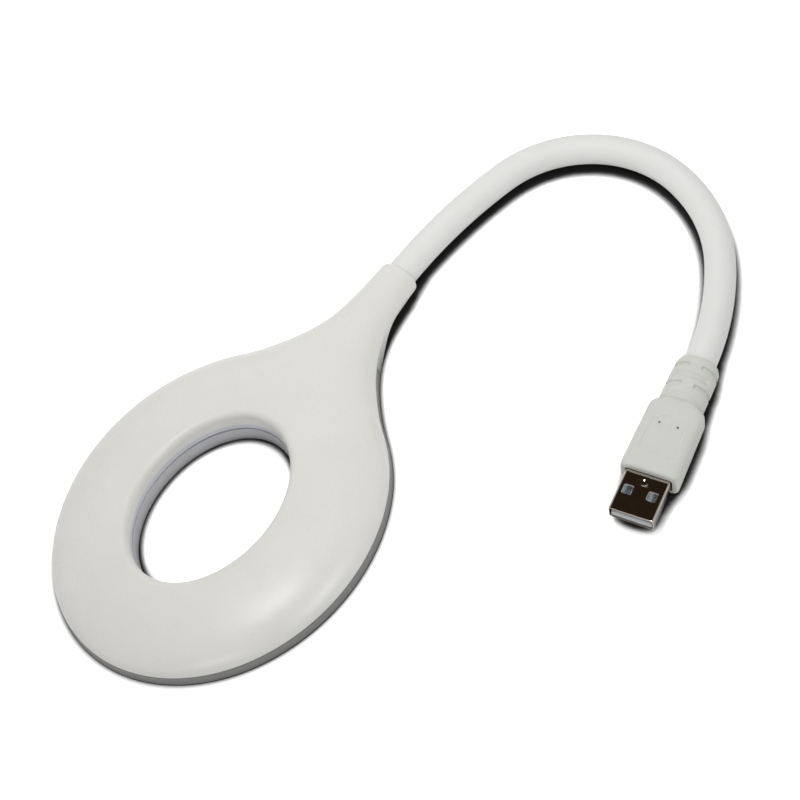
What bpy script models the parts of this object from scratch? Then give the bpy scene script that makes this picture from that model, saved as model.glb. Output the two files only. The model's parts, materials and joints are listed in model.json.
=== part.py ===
"""USB gooseneck ring lamp: an oval ring-shaped light head, a bendable neck and a USB-A plug.

Metres, +Z up. The lamp lies flat, head and plug side by side, the plug's mouth facing -Y.
The origin is the centre of its footprint, on the surface it lies on.
All dimensions below are in millimetres and are turned into metres when a mesh is made.

Lamp frame: the plug's axis is x = 0 and its shoulder is y = 0, until the last step centres it.
Head frame: origin at the hole's centre, +X towards the neck, same heights as the lamp frame.
"""
import math

import bmesh
import bpy
from mathutils import Vector

MM = 0.001

# ---------------------------------------------------------------- shared dimensions
AXIS_Z = 5.0            # height of the neck's and plug's centreline
GAP = 0.3               # clearance between neighbouring pieces
JACKET_CLEAR = 0.22     # radial clearance round the jacket in the collar and the plug
WIRE_R = 0.6
SHARP_ANGLE = math.radians(35)

# plug: a standard size A plug, lengths measured along Y from its shoulder
SHELL_W, SHELL_H, SHELL_T = 12.0, 4.5, 0.3
SHELL_OUT, SHELL_IN = 12.0, 6.0         # length outside and inside the overmould
SHELL_CORNER = 0.75
WINDOW_W, WINDOW_L = 2.3, 2.4
WINDOW_X, WINDOW_Y = 3.25, -5.6
CONTACT_X = (3.5, 1.0, -1.0, -3.5)
CONTACT_W, CONTACT_T = 1.0, 0.25
PLUG_WIRE_X = 3.5
BODY_W, BODY_H, BODY_L = 15.6, 8.8, 21.6
BOOT_END = 35.8         # where the strain relief ends
BOOT_W, BOOT_R = 6.0, 4.85              # its half width and half height
JACKET_SEAT = 33.8      # floor of the wider bore that takes the neck's jacket

# neck: a flexible jacket over a bendable core
NECK_R, NECK_BORE = 4.2, 2.6
CORE_R, CORE_CHAMFER = 2.3, 0.4
NECK_START = 36.5
NECK_ARCS = ((84.9, 22.22), (46.0, 39.72), (33.9, 91.84), (154.8, 15.81))  # radius, turn in degrees
PIVOTS = 12
PIVOT_IN, PIVOT_OUT = 3.0, 3.2          # first and last pivot, from the neck's two ends
SOCKET_GAP = 0.3
CORE_AFTER, CORE_BEFORE = 4.6, 0.9      # core ends, after one pivot and before the next
CORE_START = -19.3                      # first core's start along the neck, inside the plug
JACKET_END_X, CORE_END_X = 66.0, 61.2   # where they end inside the collar, in the head frame

# head outline and hole: ellipse half sizes along X and Y
RING_HALF_X, RING_HALF_Y, RING_X = 49.35, 41.95, 0.99
RING_Y = -1.25          # the rim's offset to one side of the hole
HOLE_HALF_X, HOLE_HALF_Y = 25.45, 18.55
FLARE_X = 41.0          # where the outline leaves the ellipse for the collar
HEAD_LEN = 84.3
# stations of the collar's outline: x, half width, slope
COLLAR = (
    (49.0, 17.0, -0.824),
    (58.0, 10.95, -0.517),
    (67.0, 7.6, -0.245),
    (76.0, 6.24, -0.08),
    (HEAD_LEN, 5.7, -0.05),
)

# head heights and walls
CROWN = 11.7
LIP = 3.0               # height of the widest line, where the cover meets the diffuser
INNER_LIP = 4.75        # height of the same line inside the hole
SEAM = 0.15             # half the gap between cover and diffuser
ROUND_FROM, ROUND_TO = 58.0, 74.0       # where the flat head turns into the round collar
FILLET = 2.0            # round the hole's upper edge
CAVITY_FILLET = 1.0
BOTTOM_IN, BOTTOM_UP = 0.5, 0.3         # bevel under the rim: inward, and part of the lip's height
COVER_T, DIFFUSER_T = 1.8, 1.5
DIFFUSER_FLOOR = 1.2
TRAY_END = 57.0

# head mesh: rays round the hole up to CUT_X, cross-sections beyond it
CUT_X = 44.0
SECTIONS_X = (47.5, 51.0, 54.5, 58.0, 61.5, 65.0, 68.5, 72.0, 75.5, 79.5, 83.5)
COLLAR_TIP = ((HEAD_LEN - 0.35, 0.965), (HEAD_LEN, 0.885))     # x, scale of the cross-section

# board and what it carries
BOARD_BOTTOM, BOARD_TOP = 5.0, 6.2
PART_TOP = BOARD_BOTTOM - GAP           # LEDs and resistors sit below the board
PART_EDGE_Z = 4.1
LED_COUNT = 12
LED_OVAL_X, LED_OVAL_HALF_X, LED_OVAL_HALF_Y = 1, 35, 28.2
LED_HALF_L, LED_HALF_W = 1.75, 1.4
LED_LAYERS = ((3.8, 0.86), (PART_EDGE_Z, 1.0), (PART_TOP, 1.0))  # z, scale
BOSS_ANGLES = (50, 130, 230, 310)
HEAD_WIRE_PATH = (      # head frame x, distance to the side of the axis, z
    (60.6, 1.3, 5.0), (57.0, 1.4, 5.1), (54.0, 1.6, 5.8), (51.0, 1.9, 6.6),
    (47.5, 2.3, 7.1), (42.0, 2.8, 7.2), (36.5, 3.2, 7.2),
)

# name: colour, roughness, metallic
MATERIALS = {
    "cover_white": ((0.74, 0.73, 0.70), 0.38, 0.0),
    "diffuser_milk": ((0.66, 0.67, 0.72), 0.45, 0.0),
    "board_white": ((0.80, 0.82, 0.80), 0.5, 0.0),
    "led_yellow": ((0.93, 0.80, 0.35), 0.4, 0.0),
    "resistor_black": ((0.03, 0.03, 0.03), 0.5, 0.0),
    "jacket_white": ((0.76, 0.76, 0.73), 0.55, 0.0),
    "core_steel": ((0.45, 0.44, 0.42), 0.35, 1.0),
    "ferrule_brass": ((0.72, 0.56, 0.28), 0.35, 1.0),
    "wire_red": ((0.60, 0.03, 0.02), 0.5, 0.0),
    "wire_black": ((0.02, 0.02, 0.02), 0.5, 0.0),
    "overmould_white": ((0.68, 0.68, 0.64), 0.6, 0.0),
    "premould_white": ((0.78, 0.78, 0.74), 0.6, 0.0),
    "shell_nickel": ((0.60, 0.58, 0.55), 0.12, 1.0),
    "insulator_grey": ((0.55, 0.55, 0.54), 0.5, 0.0),
    "contact_gold": ((0.80, 0.62, 0.30), 0.25, 1.0),
}


# ---------------------------------------------------------------- scene and objects
def clear_scene():
    for old in list(bpy.data.objects):
        bpy.data.objects.remove(old, do_unlink=True)


def make_material(name, colour, roughness, metallic):
    material = bpy.data.materials.new(name)
    material.use_nodes = True
    inputs = material.node_tree.nodes["Principled BSDF"].inputs
    inputs["Base Color"].default_value = (*colour, 1.0)
    inputs["Roughness"].default_value = roughness
    inputs["Metallic"].default_value = metallic


def make_body(name, where, parent=None):
    """An empty that carries pieces; it remembers its place in the lamp frame, in metres."""
    body = bpy.data.objects.new(name, None)
    body.empty_display_size = 0.004
    bpy.context.scene.collection.objects.link(body)
    body["world"] = [value * MM for value in where]
    body.parent = parent
    body.location = Vector(where) * MM - Vector(parent["world"] if parent else (0, 0, 0))
    return body


def finish_mesh(name, body, material, bm):
    """Turns a bmesh in millimetres into an object with its origin on the body's.

    Without a material it is a hidden helper for boolean modifiers.
    """
    bmesh.ops.remove_doubles(bm, verts=bm.verts, dist=1e-5)
    bmesh.ops.recalc_face_normals(bm, faces=bm.faces)
    origin = Vector(body["world"])
    for vert in bm.verts:
        vert.co = vert.co * MM - origin
    mesh = bpy.data.meshes.new(name)
    bm.to_mesh(mesh)
    bm.free()
    ob = bpy.data.objects.new(name, mesh)
    bpy.context.scene.collection.objects.link(ob)
    ob.parent = body
    if material is None:
        ob.hide_render = True
        ob.display_type = "WIRE"
    else:
        mesh.materials.append(bpy.data.materials[material])
        mesh.shade_smooth()
        mesh.set_sharp_from_angle(angle=SHARP_ANGLE)
    return ob


def bridge(bm, row_a, row_b):
    """Quads between two closed rows of vertices."""
    count = len(row_a)
    for i in range(count):
        j = (i + 1) % count
        bm.faces.new((row_a[i], row_a[j], row_b[j], row_b[i]))


def loft(bm, rings, closed=False):
    """Joins rings of equal length; closed runs the last back to the first, else both are capped."""
    rows = [[bm.verts.new(point) for point in ring] for ring in rings]
    for row_a, row_b in zip(rows, rows[1:]):
        bridge(bm, row_a, row_b)
    if closed:
        bridge(bm, rows[-1], rows[0])
    else:
        bm.faces.new(rows[0])
        bm.faces.new(list(reversed(rows[-1])))


def piece(name, body, material, *lofts, closed=False):
    """An object made of one or more lofts, each a list of rings."""
    bm = bmesh.new()
    for rings in lofts:
        loft(bm, rings, closed)
    return finish_mesh(name, body, material, bm)


def boolean(ob, helper, operation="DIFFERENCE"):
    modifier = ob.modifiers.new(helper.name, "BOOLEAN")
    modifier.operation = operation
    modifier.object = helper
    modifier.solver = "EXACT"


# ---------------------------------------------------------------- shapes
def ellipse(half_u, half_v, count):
    angles = [2 * math.pi * i / count for i in range(count)]
    return [(half_u * math.cos(angle), half_v * math.sin(angle)) for angle in angles]


def circle(radius, count):
    return ellipse(radius, radius, count)


def rectangle(x0, y0, x1, y1):
    return [(x0, y0), (x1, y0), (x1, y1), (x0, y1)]


def prism(outline, z0, z1):
    """Rings of an upright prism on an XY outline."""
    return [[(x, y, z) for x, y in outline] for z in (z0, z1)]


def disc(x, y, z0, z1, radius, count):
    return prism([(x + u, y + v) for u, v in circle(radius, count)], z0, z1)


def extrude_x(profile, x0, x1):
    """Rings of a YZ profile drawn out along X; its heights are from the plug's axis."""
    return [[(x, y, AXIS_Z + z) for y, z in profile] for x in (x0, x1)]


def ring_along_y(x, y, radius, count):
    """Ring in the XZ plane at y, at the axis's height."""
    return [(x + u, y, AXIS_Z + v) for u, v in circle(radius, count)]


def rounded_rect(width, height, radius, y, per_corner=4):
    """Ring in the XZ plane at y, going round from the +X side."""
    points = []
    for side_x, side_z, start in ((1, 1, 0), (-1, 1, 90), (-1, -1, 180), (1, -1, 270)):
        for k in range(per_corner):
            angle = math.radians(start + 90 * k / (per_corner - 1))
            points.append((side_x * (width / 2 - radius) + radius * math.cos(angle), y,
                           AXIS_Z + side_z * (height / 2 - radius) + radius * math.sin(angle)))
    return points


def superellipse(half_w, half_h, exponent, y, count=24):
    """Ring in the XZ plane at y."""
    points = []
    for k in range(count):
        angle = 2 * math.pi * (k + 0.5) / count
        c, s = math.cos(angle), math.sin(angle)
        points.append((half_w * math.copysign(abs(c) ** (2 / exponent), c), y,
                       AXIS_Z + half_h * math.copysign(abs(s) ** (2 / exponent), s)))
    return points


def arc_block(half_w, half_h, inner, outer, y, half_len, angle0, angle1, steps=8):
    """A block bent round the plug's axis on an ellipse, between two scales and two angles."""
    y0, y1 = y - half_len, y + half_len
    rings = []
    for i in range(steps + 1):
        angle = math.radians(angle0 + (angle1 - angle0) * i / steps)
        c, s = math.cos(angle), math.sin(angle)
        corners = ((inner, y0), (outer, y0), (outer, y1), (inner, y1))
        rings.append([(half_w * k * c, corner_y, AXIS_Z + half_h * k * s)
                      for k, corner_y in corners])
    return rings


def wire(name, body, material, path):
    """A wire through points of the lamp frame."""
    points = [Vector(point) for point in path]
    last = len(points) - 1
    rings = []
    for i, point in enumerate(points):
        tangent = (points[min(i + 1, last)] - points[max(i - 1, 0)]).normalized()
        side = tangent.cross(Vector((0, 0, 1))).normalized()
        up = side.cross(tangent)
        rings.append([tuple(point + side * u + up * v) for u, v in circle(WIRE_R, 10)])
    piece(name, body, material, rings)


def smooth(t):
    t = min(1.0, max(0.0, t))
    return t * t * (3 - 2 * t)


def hermite(x, x0, value0, slope0, x1, value1, slope1):
    """Cubic through two values with given slopes."""
    span = x1 - x0
    t = (x - x0) / span
    return ((1 - 3 * t * t + 2 * t ** 3) * value0 + t * (1 - t) ** 2 * span * slope0
            + (3 * t * t - 2 * t ** 3) * value1 + t * t * (t - 1) * span * slope1)


# ---------------------------------------------------------------- neck centreline
def neck_at(s):
    """Point and heading (radians) at arc length s from the neck's start; straight beyond its ends."""
    x, y, heading = 0.0, NECK_START, math.pi / 2
    if s <= 0:
        return Vector((x, y + s, AXIS_Z)), heading
    left = s
    for radius, turn in NECK_ARCS:
        angle = min(left, radius * math.radians(turn)) / radius
        x += radius * (math.sin(heading + angle) - math.sin(heading))
        y -= radius * (math.cos(heading + angle) - math.cos(heading))
        heading += angle
        left -= radius * angle
        if left <= 1e-9:
            return Vector((x, y, AXIS_Z)), heading
    return Vector((x + left * math.cos(heading), y + left * math.sin(heading), AXIS_Z)), heading


def neck_ring(s, radius, along=0.0, count=16):
    """Ring round the centreline at s, moved along the tangent."""
    point, heading = neck_at(s)
    tangent = Vector((math.cos(heading), math.sin(heading), 0))
    side = Vector((-math.sin(heading), math.cos(heading), 0))
    up = Vector((0, 0, 1))
    centre = point + tangent * along
    return [tuple(centre + side * u + up * v) for u, v in circle(radius, count)]


NECK_LEN = sum(radius * math.radians(turn) for radius, turn in NECK_ARCS)
PITCH = (NECK_LEN - PIVOT_IN - PIVOT_OUT) / (PIVOTS - 1)
PIVOT_S = [PIVOT_IN + PITCH * k for k in range(PIVOTS)]
NECK_END, END_HEADING = neck_at(NECK_LEN)
HEAD_DIR = Vector((math.cos(END_HEADING), math.sin(END_HEADING), 0))    # from neck to head
HOLE_CENTRE = NECK_END + HEAD_DIR * HEAD_LEN


def head_to_lamp(x, y, z):
    """Head frame to lamp frame."""
    return (HOLE_CENTRE.x - x * HEAD_DIR.x + y * HEAD_DIR.y,
            HOLE_CENTRE.y - x * HEAD_DIR.y - y * HEAD_DIR.x, z)


# ---------------------------------------------------------------- neck pieces
def make_jacket(name, body, start, end, socket_start, ball_end):
    """A length of jacket: a hollow cup at its start and a ball at its end, for its neighbours."""
    first = inner_first = start
    if socket_start:
        cup = NECK_R + SOCKET_GAP
        rings = []
        for k in range(3):
            radius = NECK_BORE + (NECK_R - NECK_BORE) * k / 2
            rings.append(neck_ring(start, radius, math.sqrt(cup * cup - radius * radius)))
        first += math.sqrt(cup * cup - NECK_R ** 2)
        inner_first += math.sqrt(cup * cup - NECK_BORE ** 2)
    else:
        rings = [neck_ring(start, NECK_BORE), neck_ring(start, NECK_R)]
    steps = max(2, int((end - first) / 4.5))
    for k in range(1, steps + 1):
        rings.append(neck_ring(first + (end - first) * k / steps, NECK_R))
    if ball_end:
        for k in (1, 2):
            angle = math.acos(NECK_BORE / NECK_R) * k / 2
            rings.append(neck_ring(end, NECK_R * math.cos(angle), NECK_R * math.sin(angle)))
        inner_last = end
    else:
        rings.append(neck_ring(end, NECK_BORE))
        inner_last = end - 1.0
    for k in range(3):
        s = inner_last + (inner_first + 1.0 - inner_last) * k / 2
        rings.append(neck_ring(s, NECK_BORE))
    piece(name, body, "jacket_white", rings, closed=True)


def make_core(name, body, start, end):
    """A length of the neck's core with chamfered ends."""
    steps = max(2, int((end - start) / 5.0))
    straight = end - start - 2 * CORE_CHAMFER
    rings = [neck_ring(start, CORE_R - CORE_CHAMFER, count=10)]
    for k in range(steps + 1):
        rings.append(neck_ring(start + CORE_CHAMFER + straight * k / steps, CORE_R, count=10))
    rings.append(neck_ring(end, CORE_R - CORE_CHAMFER, count=10))
    piece(name, body, "core_steel", rings)


def make_neck(bodies):
    """One jacket and one core per body, from the plug to the head."""
    for k, body in enumerate(bodies):
        is_first, is_last = k == 0, k == PIVOTS
        if is_first:
            jacket_start, core_start = JACKET_SEAT + GAP - NECK_START, CORE_START
        else:
            jacket_start, core_start = PIVOT_S[k - 1], PIVOT_S[k - 1] + CORE_AFTER
        if is_last:
            jacket_end = NECK_LEN + HEAD_LEN - JACKET_END_X
            core_end = NECK_LEN + HEAD_LEN - CORE_END_X
        else:
            jacket_end, core_end = PIVOT_S[k], PIVOT_S[k] - CORE_BEFORE
        make_jacket(f"neck_jacket_{k:02d}", body, jacket_start, jacket_end,
                    socket_start=not is_first, ball_end=not is_last)
        make_core(f"neck_core_{k:02d}", body, core_start, core_end)


# ---------------------------------------------------------------- head surface, in the head frame
def half_width(x, inset):
    """Half width of the head's outline at x."""
    half_x, half_y = RING_HALF_X - inset, RING_HALF_Y - inset
    if x <= FLARE_X:
        part = (x - RING_X) / half_x
        return half_y * math.sqrt(max(0.0, 1 - part * part))
    part = (FLARE_X - RING_X) / half_x
    rise = math.sqrt(1 - part * part)
    x0, width0, slope0 = FLARE_X, half_y * rise, -half_y / half_x * part / rise
    for x1, width1, slope1 in COLLAR:
        if x <= x1:
            return hermite(x, x0, width0, slope0, x1, width1 - inset, slope1)
        x0, width0, slope0 = x1, width1 - inset, slope1
    return width0


def roundness(x):
    """0 on the flat head, 1 on the round collar."""
    return smooth((x - ROUND_FROM) / (ROUND_TO - ROUND_FROM))


def crown_z(x):
    return CROWN + (2 * AXIS_Z - CROWN) * smooth((x - 15.0) / 60.0)


def lip_z(x):
    return LIP + (AXIS_Z - LIP) * roundness(x)


def top_z(x, y, inset):
    """Height of the upper surface, from the crown on the axis to the lip on the outline."""
    if x <= RING_X:
        out = math.hypot((x - RING_X) / (RING_HALF_X - inset), y / (RING_HALF_Y - inset))
    else:
        out = abs(y) / half_width(x, inset)
    exponent = 2.3 - 0.3 * roundness(x)
    fall = math.sqrt(max(0.0, 1 - min(1.0, out) ** exponent))
    return lip_z(x) + (crown_z(x) - inset - lip_z(x)) * fall


def hole_radius(angle, grow):
    return 1 / math.hypot(math.cos(angle) / (HOLE_HALF_X + grow),
                          math.sin(angle) / (HOLE_HALF_Y + grow))


def rim_shift(x, y):
    """Shifts the rim to one side; the hole and the collar stay on the head's axis."""
    out = smooth((math.hypot(x / HOLE_HALF_X, y / HOLE_HALF_Y) - 1.1) / 0.8)
    return RING_Y * out * (1 - smooth((x - 28.0) / 31.0))


def outline_radius(angle, inset):
    """Distance from the hole's centre to the outline, found by bisection."""
    near, far = 5.0, 120.0
    for _ in range(50):
        middle = (near + far) / 2
        x, y = middle * math.cos(angle), middle * math.sin(angle)
        if RING_X - RING_HALF_X + inset < x and abs(y) < half_width(x, inset):
            near = middle
        else:
            far = middle
    return near


class HeadForm:
    """The head as one closed form: rays round the hole, then cross-sections along the collar.

    stop cuts it short of the collar's tip; across, around and rows set the mesh's fineness.
    """

    def __init__(self, inset=0.0, hole_grow=0.0, stop=None, floor=0.0, fillet=FILLET,
                 across=10, around=40, rows=5):
        self.inset = inset
        self.hole_grow = hole_grow
        self.stop = stop
        self.floor = floor
        self.fillet = fillet
        self.around = around
        self.rows = rows
        # only forms standing on the ground get the bevel under the rim
        self.bevel_in, self.bevel_up = (BOTTOM_IN, BOTTOM_UP) if floor == 0.0 else (0.0, 0.0)
        self.cut_width = half_width(CUT_X, inset)
        self.across = [math.sin(math.pi * (k / across - 0.5)) for k in range(across + 1)]

    def ray(self, angle, reach):
        """Points up the hole's wall, round its fillet and over the top to a distance reach."""
        c, s = math.cos(angle), math.sin(angle)
        hole = hole_radius(angle, self.hole_grow)
        start = hole + self.fillet
        fillet_z = top_z(start * c, start * s, self.inset) - self.fillet
        points = [(hole * c, hole * s, self.floor), (hole * c, hole * s, fillet_z)]
        for degrees in (30, 60):
            turn = math.radians(degrees)
            r = hole + self.fillet * (1 - math.cos(turn))
            points.append((r * c, r * s, fillet_z + self.fillet * math.sin(turn)))
        for k in range(self.rows + 1):
            r = start + (reach - start) * math.sin(math.pi / 2 * k / self.rows)
            x, y = r * c, r * s
            on_outline = abs(y) > self.cut_width - 1e-3 or x < CUT_X - 1e-3
            z = lip_z(x) if k == self.rows and on_outline else top_z(x, y, self.inset)
            points.append((x, y, z))
        return points

    def base_z(self, x):
        return self.floor + (AXIS_Z - self.floor) * roundness(x)

    def edge(self, x, y, inward_x, inward_y):
        """Two points down the outer edge below (x, y), moved along the unit vector inward."""
        base = self.base_z(x)
        move = self.bevel_in * (1 - roundness(x))
        return [(x + inward_x * move * 0.2, y + inward_y * move * 0.2,
                 base + (lip_z(x) - base) * self.bevel_up + 1e-9),
                (x + inward_x * move, y + inward_y * move, base)]

    def side_ray(self, angle):
        """A ray that ends on the outline and runs down its edge."""
        reach = outline_radius(angle, self.inset)
        c, s = math.cos(angle), math.sin(angle)
        return self.ray(angle, reach) + self.edge(reach * c, reach * s, -c, -s)

    def corner_ray(self, angle, side):
        """A ray that ends on the outline exactly at CUT_X; side is the sign of y."""
        y = side * self.cut_width
        points = self.ray(angle, math.hypot(CUT_X, y))
        points[-1] = (CUT_X, y, lip_z(CUT_X))
        return points + self.edge(CUT_X, y, 0, -side)

    def bottom_row(self, x):
        """Underside of the cross-section at x, from -Y to +Y."""
        width = half_width(x, self.inset) - self.bevel_in * (1 - roundness(x))
        depth = self.base_z(x) - self.floor
        return [(x, f * width, self.floor + depth * (1 - math.sqrt(max(0.0, 1 - f * f))))
                for f in self.across]

    def section(self, x, scale):
        """Ring round the cross-section: top, +Y edge, underside, -Y edge."""
        width = half_width(x, self.inset)
        ring = [(x, f * width, top_z(x, f * width, self.inset)) for f in self.across]
        ring += self.edge(x, width, 0, -1)[:1]
        ring += reversed(self.bottom_row(x))
        ring += self.edge(x, -width, 0, 1)[:1]
        return [(px, py * scale, AXIS_Z + (pz - AXIS_Z) * scale) for px, py, pz in ring]

    def stations(self):
        """x and scale of each cross-section."""
        stop = self.stop or HEAD_LEN
        inner = ((CUT_X,) + SECTIONS_X)
        tip = COLLAR_TIP if self.stop is None else ((self.stop, 1.0),)
        return [(x, 1.0) for x in inner if x < stop - 0.5] + list(tip)

    def build(self):
        bm = bmesh.new()

        def place(points):
            return [bm.verts.new(head_to_lamp(x, y + rim_shift(x, y), z)) for x, y, z in points]

        front = [math.atan2(self.cut_width * f, CUT_X) for f in self.across]
        corner = front[-1]
        sweep = 2 * math.pi - 2 * corner
        rays = [place(self.corner_ray(corner, 1))]
        for k in range(1, self.around):
            rays.append(place(self.side_ray(corner + sweep * k / self.around)))
        rays.append(place(self.corner_ray(corner + sweep, -1)))
        for ray_a, ray_b in zip(rays, rays[1:]):
            bridge(bm, ray_a, ray_b)

        # rays towards the neck, from the hole to the first cross-section, and the floor below
        fronts = [place(self.ray(angle, CUT_X / math.cos(angle))) for angle in front]
        floor_row = place(self.bottom_row(CUT_X))
        last = len(self.across) - 1
        for k in range(last):
            a, b = fronts[k], fronts[k + 1]
            for i in range(len(a) - 1):
                bm.faces.new((a[i], a[i + 1], b[i + 1], b[i]))
            bm.faces.new((b[0], floor_row[k + 1], floor_row[k], a[0]))

        sections = [place(self.section(x, scale)) for x, scale in self.stations()]
        for section_a, section_b in zip(sections, sections[1:]):
            bridge(bm, section_a, section_b)

        # cap on the last cross-section
        end = sections[-1]
        tops = end[:last + 1]
        bottoms = end[last + 2:2 * last + 3][::-1]
        for k in range(last):
            bm.faces.new((tops[k], tops[k + 1], bottoms[k + 1], bottoms[k]))
        bm.faces.new((tops[last], end[last + 1], bottoms[last]))
        bm.faces.new((tops[0], bottoms[0], end[-1]))
        bmesh.ops.remove_doubles(bm, verts=bm.verts, dist=1e-3)
        bmesh.ops.dissolve_degenerate(bm, edges=bm.edges, dist=1e-3)
        return bm


def head_form(name, head, material, **settings):
    return finish_mesh(name, head, material, HeadForm(**settings).build())


def head_cavity(name, head, **settings):
    return head_form(name, head, None, fillet=CAVITY_FILLET, around=36, across=6, **settings)


def head_prism(outline, z0, z1):
    """Rings of an upright prism on a head-frame outline."""
    return [[head_to_lamp(x, y, z) for x, y in outline] for z in (z0, z1)]


def head_base_box(name, head, end_x, top):
    """A helper box round everything below a height, up to end_x on the neck side."""
    return piece(name, head, None, head_prism(rectangle(-70, -60, end_x, 60), -5, top))


def hole_prism(name, head, grow, z0, z1, count=56):
    """A helper prism on the hole's outline, grown outwards."""
    outline = []
    for i in range(count):
        angle = 2 * math.pi * (i + 0.5) / count
        radius = hole_radius(angle, grow)
        outline.append((radius * math.cos(angle), radius * math.sin(angle)))
    return piece(name, head, None, head_prism(outline, z0, z1))


def collar_ring(x, radius, count):
    """Ring round the neck's axis at x of the head frame."""
    return [head_to_lamp(x, u, AXIS_Z + v) for u, v in circle(radius, count)]


def led_oval(angle):
    """Point on the oval that the LEDs and the bosses share."""
    return (LED_OVAL_X + LED_OVAL_HALF_X * math.cos(angle), LED_OVAL_HALF_Y * math.sin(angle))


# ---------------------------------------------------------------- head pieces
def make_cover(head):
    cover = head_form("head_top_cover", head, "cover_white")
    boolean(cover, head_base_box("cut_under_cover", head, TRAY_END, LIP + SEAM))
    boolean(cover, hole_prism("cut_under_hole_wall", head, 1.9, -6, INNER_LIP + SEAM))
    boolean(cover, head_cavity("cut_cover_cavity", head, inset=COVER_T, hole_grow=1.6,
                               stop=TRAY_END - 2, floor=-1.0, rows=3))
    bore = [collar_ring(x, NECK_R + JACKET_CLEAR, 32) for x in (TRAY_END - 4, HEAD_LEN + 6)]
    boolean(cover, piece("cut_collar_bore", head, None, bore))
    bosses = []
    for degrees in BOSS_ANGLES:
        x, y, _ = head_to_lamp(*led_oval(math.radians(degrees)), 0)
        bosses.append(disc(x, y, BOARD_TOP + GAP, 8.6, 2.0, 16))
    boolean(cover, piece("join_board_bosses", head, None, *bosses), "UNION")


def make_diffuser(head):
    """The lower shell: the head's form below the seam, hollowed into a tray."""
    diffuser = head_form("head_diffuser", head, "diffuser_milk", hole_grow=-0.35)
    keep = head_base_box("keep_diffuser_base", head, TRAY_END - GAP, LIP - SEAM)
    inner_wall = hole_prism("keep_diffuser_inner_wall", head, 1.5, -3, INNER_LIP - SEAM)
    boolean(keep, inner_wall, "UNION")
    boolean(diffuser, keep, "INTERSECT")
    boolean(diffuser, head_cavity("cut_diffuser_tray", head, inset=DIFFUSER_T, hole_grow=1.3,
                                  stop=TRAY_END - 1.8, floor=DIFFUSER_FLOOR, rows=2))


def make_board(head):
    """A flat ring between two ellipses."""
    outer = [(RING_X + u, v) for u, v in ellipse(40.5, 33.8, 40)]
    inner = ellipse(29.5, 22.6, 40)
    outer_rings = head_prism(outer, BOARD_BOTTOM, BOARD_TOP)
    inner_rings = head_prism(inner, BOARD_TOP, BOARD_BOTTOM)
    piece("led_board", head, "board_white", outer_rings + inner_rings, closed=True)


def make_leds(head):
    """LEDs spread round the oval, each turned along it."""
    for i in range(LED_COUNT):
        angle = 2 * math.pi * (i + 0.5) / LED_COUNT
        x, y = led_oval(angle)
        turn = math.atan2(LED_OVAL_HALF_Y * math.cos(angle), -LED_OVAL_HALF_X * math.sin(angle))
        c, s = math.cos(turn), math.sin(turn)
        rings = []
        for z, scale in LED_LAYERS:
            half_l, half_w = LED_HALF_L * scale, LED_HALF_W * scale
            rings.append([head_to_lamp(x + u * c - v * s, y + u * s + v * c, z)
                          for u, v in rectangle(-half_l, -half_w, half_l, half_w)])
        piece(f"led_{i + 1:02d}", head, "led_yellow", rings)


def make_resistors(head):
    for i, y in enumerate((-3.4, 3.4)):
        outline = rectangle(33.8, y - 0.8, 37.0, y + 0.8)
        piece(f"resistor_{i + 1}", head, "resistor_black",
              head_prism(outline, PART_EDGE_Z, PART_TOP))


def make_ferrule(head):
    """Crimped on the neck's core, inside the collar."""
    profile = ((62.0, 2.6), (62.0, 3.9), (62.3, 4.1), (65.3, 4.1), (65.6, 3.9), (65.6, 2.6))
    rings = [collar_ring(x, radius, 24) for x, radius in profile]
    piece("neck_ferrule", head, "ferrule_brass", rings, closed=True)


def make_head_wires(head):
    for colour, side in (("red", 1), ("black", -1)):
        path = [head_to_lamp(x, y * side, z) for x, y, z in HEAD_WIRE_PATH]
        wire(f"head_wire_{colour}", head, f"wire_{colour}", path)


# ---------------------------------------------------------------- plug pieces
OVERMOULD_SECTIONS = (  # y, half width, half height, superellipse exponent
    (0.0, 6.95, 3.6, 5.0),
    (0.25, 7.5, 4.12, 5.0),
    (0.9, BODY_W / 2, BODY_H / 2, 5.0),
    (8.0, 7.65, 4.35, 5.0),
    (14.0, 7.55, 4.3, 4.8),
    (19.7, 7.45, 4.2, 4.5),
    (20.8, 7.1, 4.15, 4.0),
    (BODY_L, 6.45, 4.0, 3.2),
    (22.1, 5.75, 4.3, 2.4),
    (22.7, 5.95, BOOT_R, 2.2),
    (28.0, 6.05, BOOT_R, 2.0),
    (32.9, BOOT_W, BOOT_R, 2.0),
    (34.9, 5.7, BOOT_R, 2.0),
    (BOOT_END, 5.25, 4.65, 2.0),
)
RELIEF_SLOTS = (        # y, first and last angle from +X towards +Z
    (33.0, -72, 72), (33.0, 108, 252),
    (27.0, -72, 72), (27.0, 108, 252),
    (30.0, 35, 145), (30.0, 215, 325),
)
PREMOULD_SECTIONS = (   # y, width, height
    (6.7, 10.2, 3.8), (7.2, 11.0, 4.4), (15.4, 11.0, 4.4), (15.9, 10.2, 3.8),
)
# a tongue in the lower half of the shell and a full-height block behind it: y, z from the axis
INSULATOR_PROFILE = (
    (-11.7, -1.65), (5.2, -1.65), (5.2, 1.65), (-3.3, 1.65),
    (-3.3, 0.1), (-11.4, 0.1), (-11.7, -0.2),
)
# underside of a contact: y, z from the axis
CONTACT_UNDERSIDE = ((-10.7, -0.4), (-10.2, -0.23), (-9.4, -0.25), (5.9, -0.25))


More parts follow.
